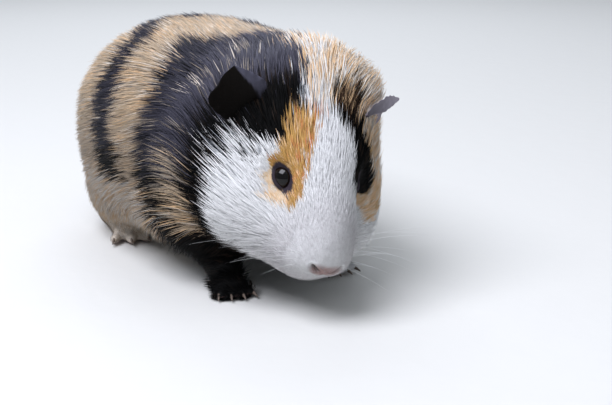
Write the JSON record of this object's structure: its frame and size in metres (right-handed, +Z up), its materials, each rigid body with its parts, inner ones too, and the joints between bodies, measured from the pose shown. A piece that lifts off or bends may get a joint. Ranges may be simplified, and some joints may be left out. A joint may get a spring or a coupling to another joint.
{
  "type": "guinea pig",
  "caption": "Life-size still model of a guinea pig standing with its head lowered to graze, with a dense patterned coat, petal ears, dark eyes and small clawed feet.",
  "frame": {"origin": "on the floor, under the middle of the animal's bounding box", "axes": "+Z up; the body runs along Y and faces -Y; the animal's left side is +X"},
  "size_m": [0.1176, 0.23, 0.1058],
  "materials": {
    "white_coat": "short soft white fur",
    "dark_coat": "soft black-brown fur",
    "tan_coat": "soft golden tan fur",
    "bare_skin": "thin bare skin with sparse down",
    "eye": "wet dark eye",
    "claw": "translucent horn"
  },
  "bodies": {
    "root": {"barrel": "tan_coat", "chest": "dark_coat", "ear_left": "bare_skin", "ear_right": "bare_skin", "eye_left": "eye", "eye_right": "eye", "foreclaw_left_1": "claw", "foreclaw_left_2": "claw", "foreclaw_left_3": "claw", "foreclaw_left_4": "claw", "foreclaw_right_1": "claw", "foreclaw_right_2": "claw", "foreclaw_right_3": "claw", "foreclaw_right_4": "claw", "forefoot_left": "bare_skin", "forefoot_right": "bare_skin", "foreleg_left": "dark_coat", "foreleg_right": "dark_coat", "head": "white_coat", "hindclaw_left_1": "claw", "hindclaw_left_2": "claw", "hindclaw_left_3": "claw", "hindclaw_right_1": "claw", "hindclaw_right_2": "claw", "hindclaw_right_3": "claw", "hindfoot_left": "bare_skin", "hindfoot_right": "bare_skin", "hindleg_left": "tan_coat", "hindleg_right": "tan_coat", "neck": "dark_coat", "rump": "dark_coat"}
  },
  "joints": []
}
